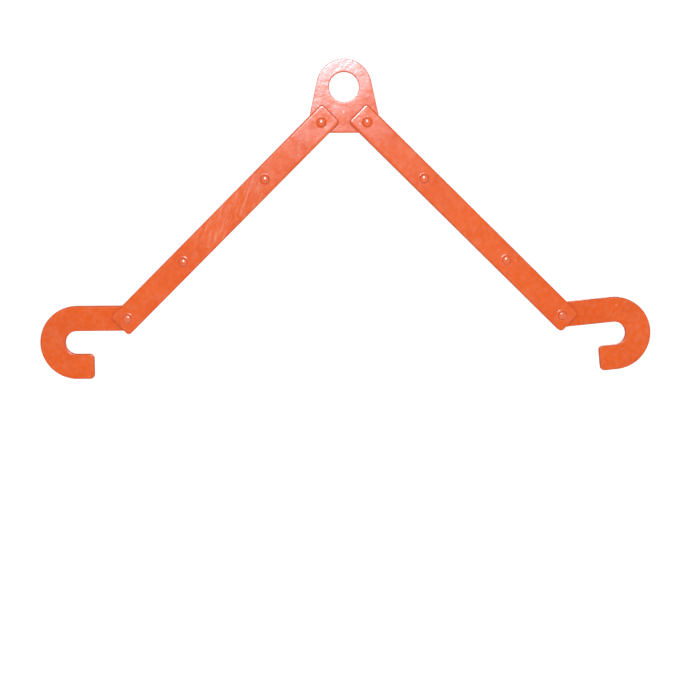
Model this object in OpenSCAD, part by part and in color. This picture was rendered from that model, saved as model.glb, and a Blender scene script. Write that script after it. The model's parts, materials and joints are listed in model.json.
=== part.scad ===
// Lifting tongs with an eye plate, two riveted twin-bar arms and two C-shaped hooks.
// The origin is the centre of the lifting eye. +X is to the right, +Y is to the back, +Z is up.
// Sizes are in millimetres and degrees.

/* [Eye plate] */
// Diameter of the lifting eye
eye_d = 50; // [40:1:60]
// Width of the rim between the eye and the round top
eye_rim = 21; // [15:0.5:30]
// Distance between the two arm pivots
pivot_span = 76; // [70:1:90]
// Drop from the eye centre to the arm pivots
pivot_drop = 58; // [54:1:75]
// Plate left below the arm pivots
foot_below = 17; // [14:0.5:25]
// Plate left outside each arm pivot
foot_beside = 23; // [16:0.5:32]
// Radius of the two bottom corners
foot_r = 10; // [4:0.5:14]
// Thickness of the eye plate and of the hooks
plate_t = 12; // [8:0.5:16]

/* [Arms] */
// Distance from head rivet to hook rivet
arm_len = 460; // [400:5:600]
// Width of the flat bars
bar_w = 43; // [36:0.5:50]
// Thickness of each flat bar
bar_t = 6; // [5:0.5:10]
// Bar left beyond the head rivet
head_end = 23; // [18:0.5:28]
// Bar left beyond the hook rivet
hook_end = 19; // [16:0.5:28]
// Radius of the end corners of a bar
bar_corner_r = 6; // [1:0.5:8]
// Distance from each pivot rivet to the tie rivet next to it
tie_offset = 133; // [130:1:180]
// Angle of both arms from the vertical
arm_angle = 45.3; // [35:0.1:60]

/* [Hooks] */
// Width of the hook section
hook_w = 42; // [34:0.5:48]
// Distance from the hook rivet to the centre of the bend, along the shank
hook_reach = 86; // [70:1:110]
// Radius of the bend at the middle of the section
bend_r = 40.5; // [32:0.5:55]
// Length of the straight jaw past the bend
jaw_len = 28; // [16:0.5:40]
// Radius of the corners at the tip of the jaw
jaw_corner_r = 7; // [2:0.5:12]
// Tilt of the left hook, outer end up
left_hook_tilt = 0; // [-15:0.5:20]
// Tilt of the right hook, outer end up
right_hook_tilt = 5.5; // [-15:0.5:20]

/* [Rivets, sleeves and spacers] */
// Diameter of the rivet shanks
rivet_d = 10; // [8:0.5:11]
// Diameter of the round heads at the front
front_head_d = 17.5; // [15:0.5:20]
// Height of the round heads at the front
front_head_h = 6.5; // [4:0.25:7]
// Diameter of the set heads at the back
back_head_d = 18; // [15:0.5:20]
// Height of the set heads at the back
back_head_h = 5; // [3:0.25:7]
// Outer diameter of the pivot sleeves
sleeve_d = 16; // [14:0.5:18]
// Outer diameter of the tie spacers
spacer_d = 20; // [16:0.5:24]

/* [Fits and edges] */
// Clearance on the radius between a shank and its hole
shank_gap = 0.1; // [0.05:0.05:0.2]
// Clearance on the radius between a sleeve and the plate that turns on it
pivot_gap = 0.1; // [0.05:0.05:0.1]
// Running clearance on each side of a plate between its bars
side_gap = 0.3; // [0.2:0.05:0.6]
// Chamfer that breaks the edges of plates and bars
edge_break = 1; // [0.3:0.1:1.5]

/* [Hidden] */

$fn = 64;
rim_fn = 36;
left = -1;
right = 1;
front = -1;
rear = 1;
paint = "#EC6430";
cut_over = 1;

bar_gap = plate_t + 2 * side_gap;
bar_y = bar_gap / 2 + bar_t / 2;
grip = bar_gap + 2 * bar_t;
shank_hole_d = rivet_d + 2 * shank_gap;
pivot_hole_d = sleeve_d + 2 * pivot_gap;
upper_tie_x = tie_offset;
lower_tie_x = arm_len - tie_offset;
hook_pivot_x = pivot_span / 2 + arm_len * sin(arm_angle);
hook_pivot_z = -pivot_drop - arm_len * cos(arm_angle);

// Mirrors the right side to the left
module on_side(side) {
    if (side == left) mirror([1, 0, 0]) children();
    else children();
}

// Frame of an arm: origin at the head rivet, +X down the arm
module on_arm(side) {
    on_side(side)
        translate([pivot_span / 2, 0, -pivot_drop])
            rotate([0, 90 - arm_angle, 0])
                children();
}

// Frame of a hook: origin at the hook rivet, +X out along the shank
module on_hook(side, tilt) {
    on_side(side)
        translate([hook_pivot_x, 0, hook_pivot_z])
            rotate([0, -tilt, 0])
                children();
}

// Stands a shape drawn flat in XY upright in XZ
module upright() {
    rotate([90, 0, 0]) children();
}

// Hole along Y through a flat piece of thickness t
module cross_hole(d, t) {
    upright() cylinder(d = d, h = t + 2 * cut_over, center = true);
}

// Section with all four corners broken, a across and b high
module broken_section(a, b) {
    e = edge_break;
    polygon([
        [-a / 2, -b / 2 + e], [-a / 2 + e, -b / 2],
        [a / 2 - e, -b / 2], [a / 2, -b / 2 + e],
        [a / 2, b / 2 - e], [a / 2 - e, b / 2],
        [-a / 2 + e, b / 2], [-a / 2, b / 2 - e]
    ]);
}

// Straight flat from x0 to x1, w high in Z and t thick in Y
module straight_flat(x0, x1, w, t) {
    translate([x0, 0, 0])
        rotate([90, 0, 90])
            linear_extrude(x1 - x0)
                broken_section(t, w);
}

// What is cut from a square corner at the origin, pointing to +X and +Z, to round it
module corner_waste(r, t) {
    difference() {
        translate([-r, -t, -r]) cube([r + cut_over, 2 * t, r + cut_over]);
        translate([-r, 0, -r]) cross_hole(2 * r, 2 * t);
    }
}

// Upright disc as thick as the plates, with a broken rim
module rim_disc(r) {
    upright() {
        cylinder(r = r, h = plate_t - 2 * edge_break, center = true, $fn = rim_fn);
        cylinder(r = r - edge_break, h = plate_t, center = true, $fn = rim_fn);
    }
}

// Eye plate: a round top, with two flanks that spread to the round corners of the foot
module eye_plate() {
    foot_x = pivot_span / 2 + foot_beside - foot_r;
    foot_z = -pivot_drop - foot_below + foot_r;
    difference() {
        hull() {
            rim_disc(eye_d / 2 + eye_rim);
            translate([-foot_x, 0, foot_z]) rim_disc(foot_r);
            translate([foot_x, 0, foot_z]) rim_disc(foot_r);
        }
        cross_hole(eye_d, plate_t);
        for (x = [-pivot_span / 2, pivot_span / 2])
            translate([x, 0, -pivot_drop]) cross_hole(pivot_hole_d, plate_t);
    }
}

// One bar of an arm, with two pivot holes and two tie holes
module arm_bar(layer) {
    translate([0, layer * bar_y, 0]) difference() {
        straight_flat(-head_end, arm_len + hook_end, bar_w, bar_t);
        for (flip = [0, 1]) mirror([0, 0, flip]) {
            translate([arm_len + hook_end, 0, bar_w / 2]) corner_waste(bar_corner_r, bar_t);
            translate([-head_end, 0, bar_w / 2]) mirror([1, 0, 0]) corner_waste(bar_corner_r, bar_t);
        }
        for (x = [0, upper_tie_x, lower_tie_x, arm_len])
            translate([x, 0, 0]) cross_hole(shank_hole_d, bar_t);
    }
}

// Half of the hook section, from its middle out to a broken edge
module half_section() {
    e = edge_break;
    r = hook_w / 2;
    polygon([
        [0, -plate_t / 2], [r - e, -plate_t / 2], [r, -plate_t / 2 + e],
        [r, plate_t / 2 - e], [r - e, plate_t / 2], [0, plate_t / 2]
    ]);
}

// Hook: a round end about the rivet, a shank, a half-turn bend and a straight jaw
module hook_plate() {
    jaw_tip_x = hook_reach - jaw_len;
    difference() {
        union() {
            upright() rotate_extrude(angle = 180, start = 90) half_section();
            straight_flat(0, hook_reach, hook_w, plate_t);
            translate([hook_reach, 0, -bend_r])
                upright() rotate_extrude(angle = 180, start = -90)
                    translate([bend_r, 0]) broken_section(hook_w, plate_t);
            translate([0, 0, -2 * bend_r]) straight_flat(jaw_tip_x, hook_reach, hook_w, plate_t);
        }
        for (flip = [0, 1])
            translate([jaw_tip_x, 0, -2 * bend_r])
                mirror([0, 0, flip])
                    translate([0, 0, hook_w / 2])
                        mirror([1, 0, 0]) corner_waste(jaw_corner_r, plate_t);
        cross_hole(pivot_hole_d, plate_t);
    }
}

// Round head of diameter d and height h, with its flat on Z = 0
module round_head(d, h) {
    ball_r = (d * d / 4 + h * h) / (2 * h);
    intersection() {
        translate([0, 0, h - ball_r]) sphere(r = ball_r);
        cylinder(r = ball_r + cut_over, h = h + cut_over);
    }
}

// Rivet through both bars at distance x down the arm
module set_rivet(x) {
    translate([x, 0, 0]) upright() {
        cylinder(d = rivet_d, h = grip, center = true);
        translate([0, 0, grip / 2]) round_head(front_head_d, front_head_h);
        translate([0, 0, -grip / 2]) mirror([0, 0, 1]) round_head(back_head_d, back_head_h);
    }
}

// Tube that keeps the bars apart, round the shank at distance x down the arm
module gap_tube(x, d) {
    translate([x, 0, 0]) upright() difference() {
        cylinder(d = d, h = bar_gap, center = true);
        cylinder(d = shank_hole_d, h = bar_gap + 2 * cut_over, center = true);
    }
}

module head_plate() { color(paint) eye_plate(); }

module left_front_bar() { color(paint) on_arm(left) arm_bar(front); }
module left_rear_bar() { color(paint) on_arm(left) arm_bar(rear); }
module right_front_bar() { color(paint) on_arm(right) arm_bar(front); }
module right_rear_bar() { color(paint) on_arm(right) arm_bar(rear); }

module left_hook() { color(paint) on_hook(left, left_hook_tilt) hook_plate(); }
module right_hook() { color(paint) on_hook(right, right_hook_tilt) hook_plate(); }

module left_head_rivet() { color(paint) on_arm(left) set_rivet(0); }
module left_hook_rivet() { color(paint) on_arm(left) set_rivet(arm_len); }
module right_head_rivet() { color(paint) on_arm(right) set_rivet(0); }
module right_hook_rivet() { color(paint) on_arm(right) set_rivet(arm_len); }

module left_upper_tie_rivet() { color(paint) on_arm(left) set_rivet(upper_tie_x); }
module left_lower_tie_rivet() { color(paint) on_arm(left) set_rivet(lower_tie_x); }
module right_upper_tie_rivet() { color(paint) on_arm(right) set_rivet(upper_tie_x); }
module right_lower_tie_rivet() { color(paint) on_arm(right) set_rivet(lower_tie_x); }

module left_head_sleeve() { color(paint) on_arm(left) gap_tube(0, sleeve_d); }
module left_hook_sleeve() { color(paint) on_arm(left) gap_tube(arm_len, sleeve_d); }
module right_head_sleeve() { color(paint) on_arm(right) gap_tube(0, sleeve_d); }
module right_hook_sleeve() { color(paint) on_arm(right) gap_tube(arm_len, sleeve_d); }

module left_upper_spacer() { color(paint) on_arm(left) gap_tube(upper_tie_x, spacer_d); }
module left_lower_spacer() { color(paint) on_arm(left) gap_tube(lower_tie_x, spacer_d); }
module right_upper_spacer() { color(paint) on_arm(right) gap_tube(upper_tie_x, spacer_d); }
module right_lower_spacer() { color(paint) on_arm(right) gap_tube(lower_tie_x, spacer_d); }

head_plate();
left_front_bar();
left_rear_bar();
right_front_bar();
right_rear_bar();
left_hook();
right_hook();
left_head_rivet();
left_hook_rivet();
right_head_rivet();
right_hook_rivet();
left_upper_tie_rivet();
left_lower_tie_rivet();
right_upper_tie_rivet();
right_lower_tie_rivet();
left_head_sleeve();
left_hook_sleeve();
right_head_sleeve();
right_hook_sleeve();
left_upper_spacer();
left_lower_spacer();
right_upper_spacer();
right_lower_spacer();
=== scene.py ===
import json
import math

import bmesh
import bpy
from mathutils import Matrix, Vector


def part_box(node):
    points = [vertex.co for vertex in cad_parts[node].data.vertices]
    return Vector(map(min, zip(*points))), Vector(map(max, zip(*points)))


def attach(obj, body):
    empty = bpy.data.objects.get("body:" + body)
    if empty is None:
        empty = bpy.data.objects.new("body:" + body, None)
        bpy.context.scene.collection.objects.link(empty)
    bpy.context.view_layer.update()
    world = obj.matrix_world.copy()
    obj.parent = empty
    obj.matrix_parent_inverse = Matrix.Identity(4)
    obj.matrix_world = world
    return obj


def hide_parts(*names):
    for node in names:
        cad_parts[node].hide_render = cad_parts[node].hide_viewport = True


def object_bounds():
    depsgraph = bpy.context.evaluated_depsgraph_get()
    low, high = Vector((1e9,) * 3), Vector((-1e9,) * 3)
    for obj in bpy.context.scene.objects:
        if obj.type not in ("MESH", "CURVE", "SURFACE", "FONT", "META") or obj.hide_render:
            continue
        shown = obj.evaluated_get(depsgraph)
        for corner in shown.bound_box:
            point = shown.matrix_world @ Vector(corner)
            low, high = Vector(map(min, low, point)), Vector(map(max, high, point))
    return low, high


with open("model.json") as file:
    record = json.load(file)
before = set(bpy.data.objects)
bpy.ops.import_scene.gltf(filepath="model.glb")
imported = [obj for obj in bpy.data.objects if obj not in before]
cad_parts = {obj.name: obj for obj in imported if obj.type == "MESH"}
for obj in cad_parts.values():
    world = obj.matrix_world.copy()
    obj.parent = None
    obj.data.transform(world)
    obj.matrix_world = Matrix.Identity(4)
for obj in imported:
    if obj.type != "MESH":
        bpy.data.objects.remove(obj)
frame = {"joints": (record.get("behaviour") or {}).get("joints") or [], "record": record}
cadLow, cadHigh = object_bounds()
jointAt = {joint["name"]: Vector(joint["pos_m"]) for joint in frame["joints"]}
seatUp = {mount["name"]: Vector(mount["axis"]) for mount in frame["record"]["mounts"]}
bodyOf = {node: body for body, nodes in frame["record"]["behaviour"]["bodies"].items() for node in nodes}
sides = {"left": -1, "right": 1}
thickness = Vector((0, 1, 0))  # every plate and bar is flat to this direction
alongThickness = (math.pi / 2, 0, 0)  # the turn that lays the axis of a new round along the thickness


# Hand tools shared by all pieces

toolSizes = {
    "drillSides": 72, "drillDepth": 0.1,
    "sharp": math.radians(50),  # edges that turn more than this are softened
    "softSteps": 4,
    "worn": math.radians(14),  # places where the softened surface turns more than this are worn
    "smooth": math.radians(40),
    "flat": 0.999,  # how squarely a face has to look along an axis
    "near": 1e-5,
    "weld": 1e-6,
}
rollSteps = ((0.14, 0.39), (0.17, 0.24), (0.69, 0.37))  # share of the roll's width and of its height


def onlySelect(piece):
    bpy.ops.object.select_all(action="DESELECT")
    piece.select_set(True)
    bpy.context.view_layer.objects.active = piece


def named(name):  # names the object that was just made
    piece = bpy.context.active_object
    piece.name = name
    piece.data.name = name
    return piece


def applyPlace():  # moves the place, turn and size of the selected piece into its mesh
    bpy.ops.object.transform_apply(location=True, rotation=True, scale=True)


def finishWith(piece, name, kind, **settings):  # adds a modifier to the active piece and applies it
    made = piece.modifiers.new(name, kind)
    for key, value in settings.items():
        setattr(made, key, value)
    bpy.ops.object.modifier_apply(modifier=made.name)


def pick(piece, kind, test):  # in edit mode, selects only the parts that pass the test
    bpy.ops.mesh.select_mode(type={"edges": "EDGE", "faces": "FACE"}[kind])
    bpy.ops.mesh.select_all(action="DESELECT")
    shape = bmesh.from_edit_mesh(piece.data)
    for part in getattr(shape, kind):
        if test(part):
            part.select_set(True)
    bmesh.update_edit_mesh(piece.data)


def pickSharp():
    bpy.ops.mesh.select_mode(type="EDGE")
    bpy.ops.mesh.select_all(action="DESELECT")
    bpy.ops.mesh.edges_select_sharp(sharpness=toolSizes["sharp"])


def bevelPicked(radius, steps):
    bpy.ops.mesh.bevel(offset=radius, segments=steps, profile=0.5, affect="EDGES")


def pullPicked(x, y, z):  # extrudes the selected edges
    bpy.ops.mesh.extrude_edges_move(TRANSFORM_OT_translate={"value": (x, y, z)})


def block(name, low, high):  # a cube stretched between two corners
    bpy.ops.object.select_all(action="DESELECT")
    bpy.ops.mesh.primitive_cube_add(size=1, location=(low + high) / 2)
    piece = named(name)
    piece.scale = high - low
    applyPlace()
    return piece


def addRound(around, radius, depth, x=0, z=0, ends="NGON"):  # a cylinder through the thickness
    bpy.ops.mesh.primitive_cylinder_add(
        vertices=around, radius=radius, depth=depth, end_fill_type=ends,
        location=(x, 0, z), rotation=alongThickness,
    )


def roundCorners(piece, radius, steps, test):  # rounds the corners that stand through the thickness
    def standing(edge):
        step = edge.verts[1].co - edge.verts[0].co
        return step.cross(thickness).length < toolSizes["near"] and test(edge.verts[0].co)

    pick(piece, "edges", standing)
    bevelPicked(radius, steps)


def drill(piece, x, z, radius):  # a hole right through the thickness
    bpy.ops.object.select_all(action="DESELECT")
    addRound(toolSizes["drillSides"], radius, toolSizes["drillDepth"], x, z)
    bit = bpy.context.active_object
    onlySelect(piece)
    finishWith(piece, "drill", "BOOLEAN", operation="DIFFERENCE", solver="EXACT", object=bit)
    bpy.data.objects.remove(bit)


def markEdges(piece):  # stores where the surface turns sharply, for the wear in the paint
    shape = bmesh.new()
    shape.from_mesh(piece.data)
    shape.normal_update()
    wear = shape.verts.layers.float.new("edgeWear")
    for vert in shape.verts:
        normals = [face.normal for face in vert.link_faces]
        turn = max((normals[0].angle(other, 0) for other in normals[1:]), default=0)
        vert[wear] = 1.0 if turn > toolSizes["worn"] else 0.0
    shape.to_mesh(piece.data)
    shape.free()


def softenEdges(piece, sizes):
    onlySelect(piece)
    bpy.ops.object.mode_set(mode="EDIT")
    pickSharp()
    bevelPicked(sizes["softEdge"], toolSizes["softSteps"])
    # a loop round the middle of the rim, then each flat rises a little from its rolled edge
    bpy.ops.mesh.select_all(action="SELECT")
    bpy.ops.mesh.bisect(plane_co=(0, 0, 0), plane_no=thickness)
    pick(piece, "faces", lambda face: abs(face.normal.y) > toolSizes["flat"])
    for share, rise in rollSteps:
        bpy.ops.mesh.inset(thickness=sizes["rollWidth"] * share, depth=sizes["edgeRoll"] * rise)
    bpy.ops.object.mode_set(mode="OBJECT")
    markEdges(piece)


def settle(piece, place, node, slot):  # puts a piece in its place and hands it to its body
    onlySelect(piece)
    piece.matrix_world = place
    applyPlace()
    bpy.ops.object.mode_set(mode="EDIT")
    bpy.ops.mesh.select_all(action="SELECT")
    bpy.ops.mesh.remove_doubles(threshold=toolSizes["weld"])
    bpy.ops.mesh.normals_make_consistent(inside=False)
    bpy.ops.object.mode_set(mode="OBJECT")
    bpy.ops.object.shade_smooth_by_angle(angle=toolSizes["smooth"])
    finishWith(piece, "even shade", "WEIGHTED_NORMAL", keep_sharp=True)
    piece.data.materials.clear()
    piece.data.materials.append(finishes[slot])
    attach(piece, bodyOf[node])
    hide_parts(node)


def pieceName(node):  # left_front_bar becomes leftFrontBar
    first, *rest = node.split("_")
    return first + "".join(word.capitalize() for word in rest)


def settleCopy(pattern, place, node, slot):
    onlySelect(pattern)
    bpy.ops.object.duplicate(linked=False)
    settle(named(pieceName(node)), place, node, slot)


def middleOf(node):  # the middle of a node across the thickness
    low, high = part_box(node)
    return Vector(((low.x + high.x) / 2, 0, (low.z + high.z) / 2))


# Paint and steel

def addNode(tree, kind, settings=None, **sockets):
    node = tree.nodes.new(kind)
    for key, value in (settings or {}).items():
        setattr(node, key, value)
    for key, value in sockets.items():
        socket = node.inputs[int(key[2:]) if key.startswith("at") else key.replace("_", " ")]
        if isinstance(value, bpy.types.NodeSocket):
            tree.links.new(value, socket)
        else:
            socket.default_value = value
    return node


def noise(tree, coords, scale, detail, roughness=0.5):
    made = addNode(
        tree, "ShaderNodeTexNoise", Vector=coords, Scale=scale, Detail=detail, Roughness=roughness
    )
    return made.outputs["Fac"]


def spread(tree, value, low, high, toLow=0.0, toHigh=1.0):  # stretches a value smoothly between two ends
    made = addNode(
        tree, "ShaderNodeMapRange", {"interpolation_type": "SMOOTHSTEP"},
        Value=value, From_Min=low, From_Max=high, To_Min=toLow, To_Max=toHigh,
    )
    return made.outputs["Result"]


def maths(tree, operation, first, second):
    return addNode(tree, "ShaderNodeMath", {"operation": operation}, at0=first, at1=second).outputs[0]


def times(tree, first, second):
    return maths(tree, "MULTIPLY", first, second)


def plus(tree, first, second):
    return maths(tree, "ADD", first, second)


def larger(tree, first, second):
    return maths(tree, "MAXIMUM", first, second)


def blendColour(tree, share, first, second):
    made = addNode(tree, "ShaderNodeMix", {"data_type": "RGBA"}, at0=share, at6=first, at7=second)
    return made.outputs[2]


def nearness(tree, coords, middle, reach, core):  # 1 within the core of a place, 0 from its reach outwards
    away = addNode(tree, "ShaderNodeVectorMath", {"operation": "DISTANCE"}, at0=coords, at1=middle)
    return spread(tree, away.outputs["Value"], reach, core)


def addRelief(tree, shader, height):
    relief = addNode(tree, "ShaderNodeBump", Height=height, Distance=1.0, Strength=1.0)
    tree.links.new(relief.outputs["Normal"], shader.inputs["Normal"])


def newMaterial(name):
    material = bpy.data.materials.new(name)
    material.use_nodes = True
    tree = material.node_tree
    shader = tree.nodes["Principled BSDF"]
    coords = tree.nodes.new("ShaderNodeTexCoord").outputs["Object"]
    return material, tree, shader, coords


enamelLook = {
    "bright": (0.82, 0.095, 0.003, 1),
    "deep": (0.77, 0.082, 0.001, 1),
    "thin": (0.46, 0.046, 0.008, 1),  # paint drawn thin over the edges
    "chalk": (0.90, 0.42, 0.28, 1),  # pale specks and scuffs
    "bareSteel": (0.27, 0.25, 0.24, 1),
    "ior": 1.42, "coatIor": 1.62, "coatRoughness": 0.20,
    "edgeDull": 0.45, "rimDull": 0.40, "paleDull": 0.15,  # how much duller edges, rims and pale marks are
    "mottleShare": 0.10, "patchShare": 0.4,
    "cutLines": (620, 45, 620),  # the lines of the cut run through the thickness
    "spotCells": 70, "spotLuck": 0.93,  # only the luckiest cells get a spot
    "spotPale": 0.35,
    "smearSize": (0.027, 1, 0.0045),  # length, depth and width of a rub mark
    "smearTurn": (0, math.radians(-70), 0),
    "chipMetal": 0.8,
}
wornPlaces = {
    # middle, reach and core of the most rubbed part, on the left arm
    "rubbed": ((-0.20, 0, -0.20), 0.13, 0.039),
    # and of the part with more pale spots and chips, where the arms meet the plate
    "headJoin": ((0, 0, -0.055), 0.075, 0.0225),
}
headJoinLook = {"luck": 0.22, "pale": 0.4, "flake": 0.06}  # added to the spots and chips of that part
enamelNoise = {
    # scale, detail and roughness
    "cloud": (16, 3), "mottle": (130, 3, 0.6), "film": (70, 2), "gloss": (45, 3), "patch": (7, 1),
    "smear": (1, 4, 0.6), "cut": (1, 3, 0.6), "flake": (85, 4, 0.62),
    "rolled": (38, 2), "grain": (150, 2), "peel": (330, 2),
}
enamelLevels = {
    # the two levels that a pattern is stretched between, and what they become if not 0 and 1
    "cloud": (0.32, 0.68), "mottle": (0.35, 0.75), "patch": (0.50, 0.66), "smear": (0.44, 0.76),
    "film": (0.3, 0.7, 0.2, 1.0), "cut": (0.3, 0.7, 0.25, 0.55),
    "gloss": (0.3, 0.7, 0.15, 0.225),  # to the roughness of the paint
    "rim": (0.75, 0.35), "spot": (0.20, 0.04), "flake": (0.66, 0.68), "chip": (0.55, 0.8),
}
reliefHeight = {
    "rolled": 0.00013, "peel": 0.00004, "spots": 0.00003, "chips": -0.0002, "grain": 0.00006, "cut": 0.00025,
}


def paintPattern(tree, coords, name):  # one of the noises above, stretched to its levels
    return spread(tree, noise(tree, coords, *enamelNoise[name]), *enamelLevels[name])


def enamel(name, edgeThin, chips, scuffs, coat, cutMarks, shine):
    material, tree, shader, coords = newMaterial(name)
    look = enamelLook
    edge = addNode(tree, "ShaderNodeAttribute", {"attribute_name": "edgeWear"}).outputs["Fac"]

    # colour: broad cloudy shades, a finer mottle and a thinner film on the edges
    colour = blendColour(tree, paintPattern(tree, coords, "cloud"), look["deep"], look["bright"])
    mottle = times(tree, paintPattern(tree, coords, "mottle"), look["mottleShare"])
    colour = blendColour(tree, mottle, colour, look["chalk"])
    thin = times(tree, times(tree, edge, paintPattern(tree, coords, "film")), edgeThin)
    colour = blendColour(tree, thin, colour, look["thin"])

    # the cut edges of the plates: a dull thin film over the marks of the cut
    facing = addNode(tree, "ShaderNodeTexCoord").outputs["Normal"]
    across = addNode(tree, "ShaderNodeSeparateXYZ", Vector=facing).outputs["Y"]
    rim = spread(tree, maths(tree, "ABSOLUTE", across, 0), *enamelLevels["rim"], 0.0, cutMarks)
    lines = addNode(tree, "ShaderNodeMapping", Vector=coords, Scale=look["cutLines"]).outputs["Vector"]
    cut = noise(tree, lines, *enamelNoise["cut"])
    rimThin = times(tree, rim, spread(tree, cut, *enamelLevels["cut"]))
    colour = blendColour(tree, rimThin, colour, look["thin"])

    # a few soft pale spots, more of them where the arms meet the plate
    headJoin = nearness(tree, coords, *wornPlaces["headJoin"])
    cells = addNode(tree, "ShaderNodeTexVoronoi", Vector=coords, Scale=look["spotCells"], Randomness=1)
    dot = spread(tree, cells.outputs["Distance"], *enamelLevels["spot"])
    luck = addNode(tree, "ShaderNodeSeparateColor", Color=cells.outputs["Color"]).outputs[0]
    luck = plus(tree, luck, times(tree, headJoin, headJoinLook["luck"]))
    spots = times(tree, dot, maths(tree, "GREATER_THAN", luck, look["spotLuck"]))
    spotPale = plus(tree, times(tree, headJoin, headJoinLook["pale"]), look["spotPale"])

    # rub marks in patches
    strokes = addNode(
        tree, "ShaderNodeMapping", {"vector_type": "TEXTURE"},
        Vector=coords, Rotation=look["smearTurn"], Scale=look["smearSize"],
    ).outputs["Vector"]
    patch = times(tree, paintPattern(tree, coords, "patch"), look["patchShare"])
    patch = larger(tree, patch, nearness(tree, coords, *wornPlaces["rubbed"]))
    scuff = times(tree, times(tree, paintPattern(tree, strokes, "smear"), patch), scuffs)
    pale = larger(tree, times(tree, spots, spotPale), scuff)
    colour = blendColour(tree, pale, colour, look["chalk"])

    # chips along the edges, down to the steel
    flaky = noise(tree, coords, *enamelNoise["flake"])
    flaky = plus(tree, flaky, times(tree, headJoin, headJoinLook["flake"]))
    flake = spread(tree, flaky, *[level - chips for level in enamelLevels["flake"]])
    chip = times(tree, spread(tree, edge, *enamelLevels["chip"]), flake)
    colour = blendColour(tree, chip, colour, look["bareSteel"])
    tree.links.new(colour, shader.inputs["Base Color"])
    tree.links.new(times(tree, chip, look["chipMetal"]), shader.inputs["Metallic"])

    # gloss that varies
    rough = plus(tree, paintPattern(tree, coords, "gloss"), times(tree, pale, look["paleDull"]))
    dull = larger(tree, times(tree, edge, look["edgeDull"]), times(tree, rim, look["rimDull"]))
    tree.links.new(plus(tree, rough, dull), shader.inputs["Roughness"])
    shader.inputs["IOR"].default_value = look["ior"]
    shader.inputs["Specular IOR Level"].default_value = shine
    shader.inputs["Coat Weight"].default_value = coat
    shader.inputs["Coat Roughness"].default_value = look["coatRoughness"]
    shader.inputs["Coat IOR"].default_value = look["coatIor"]

    # relief: rolled steel and its grain under the paint, orange peel, spots, chipped hollows and cut marks
    forms = {kind: noise(tree, coords, *enamelNoise[kind]) for kind in ("rolled", "peel", "grain")}
    forms.update(spots=spots, chips=chip, cut=times(tree, cut, rim))
    height = 0.0
    for kind, rise in reliefHeight.items():
        height = plus(tree, times(tree, forms[kind], rise), height)
    addRelief(tree, shader, height)
    return material


steelLook = {
    "bright": (0.50, 0.49, 0.47, 1),
    "dull": (0.30, 0.28, 0.26, 1),
    "rust": (0.20, 0.085, 0.035, 1),
    "lathe": (30, 2500, 30),  # turning marks run round the tube: fine along the thickness, long across it
    "markNoise": (1, 3), "markLevels": (0.3, 0.7), "markHeight": 0.00003,
    "rustNoise": (190, 4, 0.65), "rustLevels": (0.60, 0.70), "rustShare": 0.7,
    "metal": (1.0, 0.1),  # on clean and on rusty steel
    "roughness": (0.28, 0.46),
}


def turnedSteel(name):
    material, tree, shader, coords = newMaterial(name)
    look = steelLook
    lathe = addNode(tree, "ShaderNodeMapping", Vector=coords, Scale=look["lathe"]).outputs["Vector"]
    marks = noise(tree, lathe, *look["markNoise"])
    colour = blendColour(tree, spread(tree, marks, *look["markLevels"]), look["dull"], look["bright"])
    spots = spread(tree, noise(tree, coords, *look["rustNoise"]), *look["rustLevels"])
    colour = blendColour(tree, times(tree, spots, look["rustShare"]), colour, look["rust"])
    rough = spread(tree, marks, *look["markLevels"], *look["roughness"])
    tree.links.new(colour, shader.inputs["Base Color"])
    tree.links.new(spread(tree, spots, 0, 1, *look["metal"]), shader.inputs["Metallic"])
    tree.links.new(rough, shader.inputs["Roughness"])
    addRelief(tree, shader, times(tree, marks, look["markHeight"]))
    return material


finishLook = {
    # shares of thin film, scuffs and cut marks, how easily edges chip, clear coat and shine
    "plate_paint": {"edgeThin": 0.5, "chips": 0.03, "scuffs": 0.3, "coat": 0, "cutMarks": 1, "shine": 0.5},
    "bar_paint": {"edgeThin": 0.5, "chips": 0.02, "scuffs": 0.34, "coat": 0, "cutMarks": 0.6, "shine": 0.46},
    "hook_paint": {"edgeThin": 0.5, "chips": 0.03, "scuffs": 0.3, "coat": 0, "cutMarks": 1, "shine": 0.38},
    "rivet_paint": {"edgeThin": 0.3, "chips": 0.0, "scuffs": 0.1, "coat": 1, "cutMarks": 0, "shine": 0},
}
finishes = {slot: enamel(slot.replace("_paint", "Enamel"), **look) for slot, look in finishLook.items()}
finishes["sleeve_steel"] = turnedSteel("sleeveSteel")
print("finishes mixed:", len(finishes))


# Eye plate: a round top over the eye, flanks that spread to a wide foot

plateSizes = {
    "eye": 0.025, "top": 0.046, "foot": 0.010, "pivotHole": 0.0081,
    "topSides": 128, "footSides": 48, "join": math.radians(0.5),  # faces as flat as this become one
    "softEdge": 0.0008, "edgeRoll": 0.00004, "rollWidth": 0.002,
}


def makeEyePlate():
    low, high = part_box("head_plate")
    depth = high.y - low.y - 2 * plateSizes["edgeRoll"]
    foot = plateSizes["foot"]
    bpy.ops.object.select_all(action="DESELECT")
    addRound(plateSizes["topSides"], plateSizes["top"], depth)
    plate = named("headPlate")
    applyPlace()
    bpy.ops.object.mode_set(mode="EDIT")
    for x in (low.x + foot, high.x - foot):  # the rounds of the foot join this mesh
        addRound(plateSizes["footSides"], foot, depth, x, low.z + foot)
    bpy.ops.mesh.select_all(action="SELECT")
    bpy.ops.mesh.convex_hull()  # a skin stretched over the three rounds
    bpy.ops.mesh.select_all(action="SELECT")
    bpy.ops.mesh.dissolve_limited(angle_limit=plateSizes["join"])
    bpy.ops.object.mode_set(mode="OBJECT")
    drill(plate, 0, 0, plateSizes["eye"])
    softenEdges(plate, plateSizes)
    for side in sides:
        pivot = jointAt[side + "_arm_swing"]
        drill(plate, pivot.x, pivot.z, plateSizes["pivotHole"])
    settle(plate, Matrix.Identity(4), "head_plate", "plate_paint")


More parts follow.
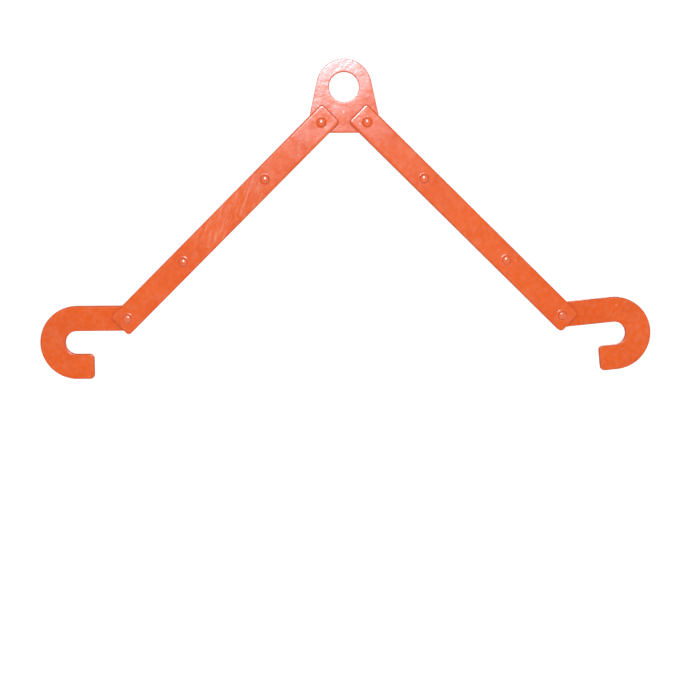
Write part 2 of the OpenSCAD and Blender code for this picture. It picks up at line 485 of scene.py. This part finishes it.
makeEyePlate()
print("eye plate done")


# Arms: pairs of flat bars, modelled along X from the head rivet

barSizes = {
    "width": 0.043, "headEnd": 0.023, "hookEnd": 0.019, "corner": 0.006, "cornerSteps": 8,
    "tieOffset": 0.133, "hole": 0.0051,
    "softEdge": 0.0017, "edgeRoll": 0.0003, "rollWidth": 0.0029,
}


def armFrame(side):  # +X runs down the arm from the head rivet
    start = jointAt[side + "_arm_swing"]
    along = (jointAt[side + "_hook_pivot"] - start).normalized()
    turn = Matrix((along, thickness, along.cross(thickness))).transposed()
    return Matrix.Translation(start) @ turn.to_4x4()


def makeBar():
    low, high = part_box("right_front_bar")
    length = (jointAt["right_hook_pivot"] - jointAt["right_arm_swing"]).length
    half = Vector((0, (high.y - low.y) / 2 - barSizes["edgeRoll"], barSizes["width"] / 2))
    start = Vector((-barSizes["headEnd"], 0, 0))
    stop = Vector((length + barSizes["hookEnd"], 0, 0))
    bar = block("bar", start - half, stop + half)
    bpy.ops.object.mode_set(mode="EDIT")
    roundCorners(bar, barSizes["corner"], barSizes["cornerSteps"], lambda corner: True)
    bpy.ops.object.mode_set(mode="OBJECT")
    softenEdges(bar, barSizes)
    for x in (0, barSizes["tieOffset"], length - barSizes["tieOffset"], length):
        drill(bar, x, 0, barSizes["hole"])
    return bar


barPattern = makeBar()
for side in sides:
    for layer in ("front", "rear"):
        node = f"{side}_{layer}_bar"
        low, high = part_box(node)
        level = Matrix.Translation((0, (low.y + high.y) / 2, 0))
        settleCopy(barPattern, armFrame(side) @ level, node, "bar_paint")
bpy.data.objects.remove(barPattern)
print("arm bars done")


# Hooks: a round end, a shank, a half-turn bend and a short jaw, modelled along X from the hook rivet

hookSizes = {
    "width": 0.042, "reach": 0.086, "bend": 0.0405, "jaw": 0.028, "jawCorner": 0.007, "pivotHole": 0.0081,
    "endShare": 0.999, "endWeld": 0.0001,  # the two rounds of the end stop just short, then are welded
    "endSteps": 16, "bendSteps": 36, "cornerSteps": 8,
    "softEdge": 0.0016, "edgeRoll": 0.0003, "rollWidth": 0.003,
}


def hookFrame(side):  # +X runs out along the shank, +Z is square to the seat of the jaw
    up = seatUp[side + "_jaw_seat"]
    through = thickness * sides[side]
    turn = Matrix((through.cross(up), through, up)).transposed()
    return Matrix.Translation(jointAt[side + "_hook_pivot"]) @ turn.to_4x4()


def makeHook():
    low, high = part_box("right_hook")
    width, reach, bend = hookSizes["width"], hookSizes["reach"], hookSizes["bend"]
    tip = reach - hookSizes["jaw"]
    half = Vector((0, (high.y - low.y) / 2 - hookSizes["edgeRoll"], width / 2))
    hook = block("hook", Vector((-width / 2, 0, 0)) - half, Vector((reach, 0, 0)) + half)
    bpy.ops.object.mode_set(mode="EDIT")
    endRound = width / 2 * hookSizes["endShare"]
    roundCorners(hook, endRound, hookSizes["endSteps"], lambda corner: corner.x < 0)
    bpy.ops.mesh.select_all(action="SELECT")
    bpy.ops.mesh.remove_doubles(threshold=hookSizes["endWeld"])
    pick(hook, "faces", lambda face: face.normal.x > toolSizes["flat"])
    bpy.ops.mesh.spin(
        steps=hookSizes["bendSteps"], angle=-math.pi, center=(reach, 0, -bend), axis=thickness
    )
    bpy.ops.mesh.extrude_region_move(TRANSFORM_OT_translate={"value": (-hookSizes["jaw"], 0, 0)})

    def onTip(corner):
        return abs(corner.x - tip) < toolSizes["near"] and corner.z < -bend

    roundCorners(hook, hookSizes["jawCorner"], hookSizes["cornerSteps"], onTip)
    bpy.ops.object.mode_set(mode="OBJECT")
    softenEdges(hook, hookSizes)
    drill(hook, 0, 0, hookSizes["pivotHole"])
    return hook


hookPattern = makeHook()
for side in sides:
    settleCopy(hookPattern, hookFrame(side), side + "_hook", "hook_paint")
bpy.data.objects.remove(hookPattern)
print("hooks done")


# Rivets: a shank with a round head at the front and a set head at the back

rivetSizes = {
    # radius, height, and the slope in degrees where the head runs into the bead of paint round its foot
    "frontHead": (0.0073, 0.0058, 85),
    "backHead": (0.0090, 0.0047, 60),
    "crown": 0.019, "crownTurn": 14,  # radius of the hammered crown, and how far it turns in degrees
    "shank": 0.005, "around": 64, "steps": 6,
}


# radius and height of each ring of a head, up the bead, the shoulder and the crown
def headRings(radius, height, slopeAtFoot):
    crown, steps = rivetSizes["crown"], rivetSizes["steps"]
    turned, steepest = math.radians(rivetSizes["crownTurn"]), math.radians(slopeAtFoot)
    shoulder = (radius - crown * math.sin(turned)) / (math.sin(steepest) - math.sin(turned))
    shoulderTop = height - crown * (1 - math.cos(turned))
    shoulderFoot = shoulderTop - shoulder * (math.cos(turned) - math.cos(steepest))
    bead = shoulderFoot / (1 - math.cos(steepest))
    for step in range(steps + 1):
        slope = steepest * step / steps
        yield radius + bead * (math.sin(steepest) - math.sin(slope)), bead * (1 - math.cos(slope))
    for step in range(1, steps + 1):
        slope = steepest + (turned - steepest) * step / steps
        fall = shoulder * (math.cos(turned) - math.cos(slope))
        yield crown * math.sin(turned) + shoulder * (math.sin(slope) - math.sin(turned)), shoulderTop - fall
    for step in range(1, steps):
        slope = turned * (1 - step / steps)
        yield crown * math.sin(slope), height - crown * (1 - math.cos(slope))


# carries the selected ring up to the crown of a head
def growHead(face, direction, radius, height, slopeAtFoot):
    ring, level = rivetSizes["shank"], face
    for newRing, rise in headRings(radius, height, slopeAtFoot):
        newLevel = face + direction * rise
        pullPicked(0, newLevel - level, 0)
        ratio = newRing / ring
        bpy.ops.transform.resize(value=(ratio, 1, ratio), center_override=(0, 0, 0))
        ring, level = newRing, newLevel
    pullPicked(0, face + direction * height - level, 0)
    bpy.ops.mesh.merge(type="CENTER")


def makeRivet():
    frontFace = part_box("right_front_bar")[0].y
    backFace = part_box("right_rear_bar")[1].y
    bpy.ops.object.select_all(action="DESELECT")
    bpy.ops.mesh.primitive_circle_add(
        vertices=rivetSizes["around"], radius=rivetSizes["shank"],
        location=(0, frontFace, 0), rotation=alongThickness,
    )
    rivet = named("rivet")
    applyPlace()
    bpy.ops.object.mode_set(mode="EDIT")
    bpy.ops.mesh.select_mode(type="EDGE")
    bpy.ops.mesh.select_all(action="SELECT")
    pullPicked(0, backFace - frontFace, 0)
    growHead(backFace, 1, *rivetSizes["backHead"])

    def onFront(edge):
        return all(abs(vert.co.y - frontFace) < toolSizes["near"] for vert in edge.verts)

    pick(rivet, "edges", onFront)
    growHead(frontFace, -1, *rivetSizes["frontHead"])
    bpy.ops.object.mode_set(mode="OBJECT")
    return rivet


rivetPattern = makeRivet()
for side in sides:
    for place in ("head", "upper_tie", "lower_tie", "hook"):
        node = f"{side}_{place}_rivet"
        settleCopy(rivetPattern, Matrix.Translation(middleOf(node)), node, "rivet_paint")
bpy.data.objects.remove(rivetPattern)
print("rivets done")


# Tubes between the bars: sleeves that the plate and hooks turn on, and spacers at the tie rivets

tubeSizes = {"bore": 0.0051, "rim": 0.0005, "rimSteps": 2, "around": 64}
tubeKinds = {
    "sleeve": (("head", "hook"), "sleeve_steel"),
    "spacer": (("upper", "lower"), "rivet_paint"),
}


def makeTube(node):
    low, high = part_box(node)
    radius = (high.x - low.x) / 2
    bpy.ops.object.select_all(action="DESELECT")
    addRound(tubeSizes["around"], radius, high.y - low.y, ends="NOTHING")
    tube = named(node)
    applyPlace()
    finishWith(tube, "wall", "SOLIDIFY", thickness=radius - tubeSizes["bore"], offset=-1)
    bpy.ops.object.mode_set(mode="EDIT")
    pickSharp()
    bevelPicked(tubeSizes["rim"], tubeSizes["rimSteps"])
    bpy.ops.object.mode_set(mode="OBJECT")
    return tube


for kind, (places, slot) in tubeKinds.items():
    tubePattern = makeTube(f"right_{places[0]}_{kind}")
    for side in sides:
        for place in places:
            node = f"{side}_{place}_{kind}"
            settleCopy(tubePattern, Matrix.Translation(middleOf(node)), node, slot)
    bpy.data.objects.remove(tubePattern)
print("sleeves and spacers done")


# Studio: a white sweep, soft lamps and the camera

sweepLook = {
    "floorDrop": 0.56,  # how far the floor lies under the part
    "width": 16, "front": -7, "back": 4, "height": 7, "fold": 2.0, "foldSteps": 16, "near": 0.01,
    "glow": 0.90, "paper": 0.25,  # how white it is seen, and how much of it takes a shadow
    "grey": 0.85,  # the paper as it lights the part
}


def seenRays(tree):  # 1 where something is seen directly, in a reflection or through something clear
    path = tree.nodes.new("ShaderNodeLightPath").outputs
    seen = larger(tree, path["Is Camera Ray"], path["Is Glossy Ray"])
    return larger(tree, seen, path["Is Transmission Ray"])


def whiteSweep():
    bpy.ops.object.select_all(action="DESELECT")
    bpy.ops.mesh.primitive_plane_add(size=1)
    sweep = named("whiteSweep")
    floor = cadLow.z - sweepLook["floorDrop"]
    front, back, near = sweepLook["front"], sweepLook["back"], sweepLook["near"]
    sweep.scale = (sweepLook["width"], back - front, 1)
    sweep.location = (0, (back + front) / 2, floor)
    applyPlace()
    bpy.ops.object.mode_set(mode="EDIT")

    def backFold(edge):  # the edge where the floor meets the back
        return all(vert.co.y > back - near and vert.co.z < floor + near for vert in edge.verts)

    pick(sweep, "edges", backFold)
    pullPicked(0, 0, sweepLook["height"])
    pick(sweep, "edges", backFold)
    bevelPicked(sweepLook["fold"], sweepLook["foldSteps"])
    bpy.ops.object.mode_set(mode="OBJECT")
    bpy.ops.object.shade_smooth()

    # where it is seen the sweep is white, and part of it still takes the shadow
    material = bpy.data.materials.new("whitePaper")
    material.use_nodes = True
    tree = material.node_tree
    tree.nodes.clear()
    seen = seenRays(tree)
    plain, shaded = (
        addNode(tree, "ShaderNodeBsdfDiffuse", Color=(*[sweepLook[shade]] * 3, 1)).outputs[0]
        for shade in ("grey", "paper")
    )
    glow = addNode(tree, "ShaderNodeEmission", Strength=sweepLook["glow"]).outputs[0]
    white = addNode(tree, "ShaderNodeAddShader", at0=shaded, at1=glow).outputs[0]
    mixed = addNode(tree, "ShaderNodeMixShader", at0=seen, at1=plain, at2=white).outputs[0]
    addNode(tree, "ShaderNodeOutputMaterial", Surface=mixed)
    sweep.data.materials.append(material)


lampLook = {
    # place, aim, size across, size up, power, colour
    "window": ((-0.10, -3.2, 1.11), (0, 0, -0.2), 1.0, 0.6, 28, (1, 1, 1)),
    "strip": ((-0.06, -3.0, 0.415), (0, 0, -0.1), 0.30, 0.14, 47, (0.70, 0.95, 1.12)),
    "rear": ((0.5, 3.0, 0.35), (0, 0, -0.2), 1.6, 1.0, 50, (1, 1, 1)),
}
airLook = {"fill": 0.36, "seen": 1.0}  # grey level of the room as light, and as it is seen


def hangLamps():
    for name, (place, aim, across, up, power, colour) in lampLook.items():
        lamp = bpy.data.objects.new(name + "Lamp", bpy.data.lights.new(name + "Lamp", "AREA"))
        lamp.data.shape = "RECTANGLE"
        lamp.data.size = across
        lamp.data.size_y = up
        lamp.data.energy = power
        lamp.data.color = colour
        lamp.location = place
        lamp.rotation_euler = (Vector(aim) - Vector(place)).to_track_quat("-Z", "Y").to_euler()
        lamp.visible_camera = False
        bpy.context.scene.collection.objects.link(lamp)


def fillRoom():
    world = bpy.data.worlds.new("studioAir")
    world.use_nodes = True
    tree = world.node_tree
    room = tree.nodes["Background"]
    level = spread(tree, seenRays(tree), 0, 1, airLook["fill"], airLook["seen"])
    tree.links.new(level, room.inputs["Strength"])
    room.inputs["Color"].default_value = (1, 1, 1, 1)
    bpy.context.scene.world = world


# the camera stands a little below the eye, a little left of the middle, and looks slightly down
cameraLook = {
    "place": (-0.0586, -2.670, -0.13), "tilt": -6.434, "roll": 0.347, "turn": -1.296,
    "lens": 82.91, "sensor": 36,
}


def setCamera():
    camera = bpy.data.objects.new("photoCamera", bpy.data.cameras.new("photoCamera"))
    camera.location = cameraLook["place"]
    turns = (90 + cameraLook["tilt"], cameraLook["roll"], cameraLook["turn"])
    camera.rotation_euler = [math.radians(turn) for turn in turns]
    camera.data.sensor_width = cameraLook["sensor"]
    camera.data.lens = cameraLook["lens"]
    bpy.context.scene.collection.objects.link(camera)
    bpy.context.scene.camera = camera


whiteSweep()
hangLamps()
fillRoom()
setCamera()
bpy.context.scene.view_settings.view_transform = "Standard"
print("studio set")
